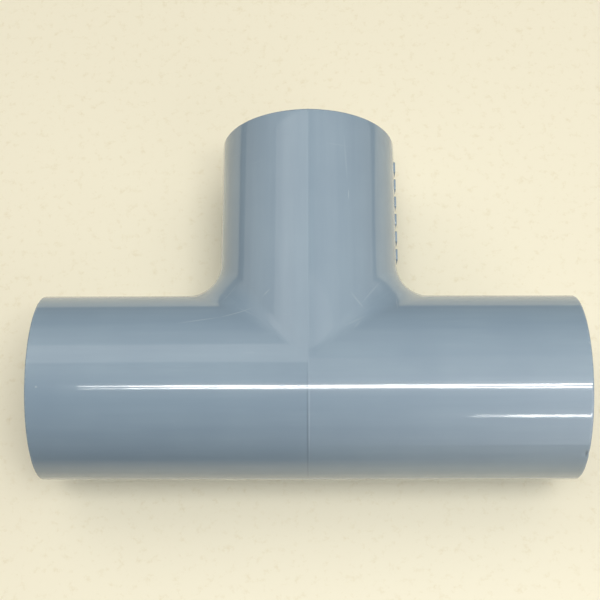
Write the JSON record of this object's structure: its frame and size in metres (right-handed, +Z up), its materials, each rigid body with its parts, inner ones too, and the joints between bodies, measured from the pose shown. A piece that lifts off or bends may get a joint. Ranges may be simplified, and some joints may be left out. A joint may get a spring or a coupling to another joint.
{
  "type": "pipe tee fitting",
  "caption": "Equal pipe tee in glossy grey-blue PVC: a straight run with a side branch blended into it, each arm ending in a tapered socket that pipe is glued into.",
  "frame": {"origin": "on the plane that the tee lies on, under the middle of its outline; the axes of run and branch cross 33 mm from it towards -Y and 35 mm above it", "axes": "+X along the run, +Y along the branch towards its mouth, +Z up, square to the plane of the arms"},
  "size_m": [0.202, 0.136, 0.07],
  "materials": {
    "grey_blue_pvc": "glossy as moulded"
  },
  "bodies": {
    "root": {"tee_body": "grey_blue_pvc"}
  },
  "joints": []
}
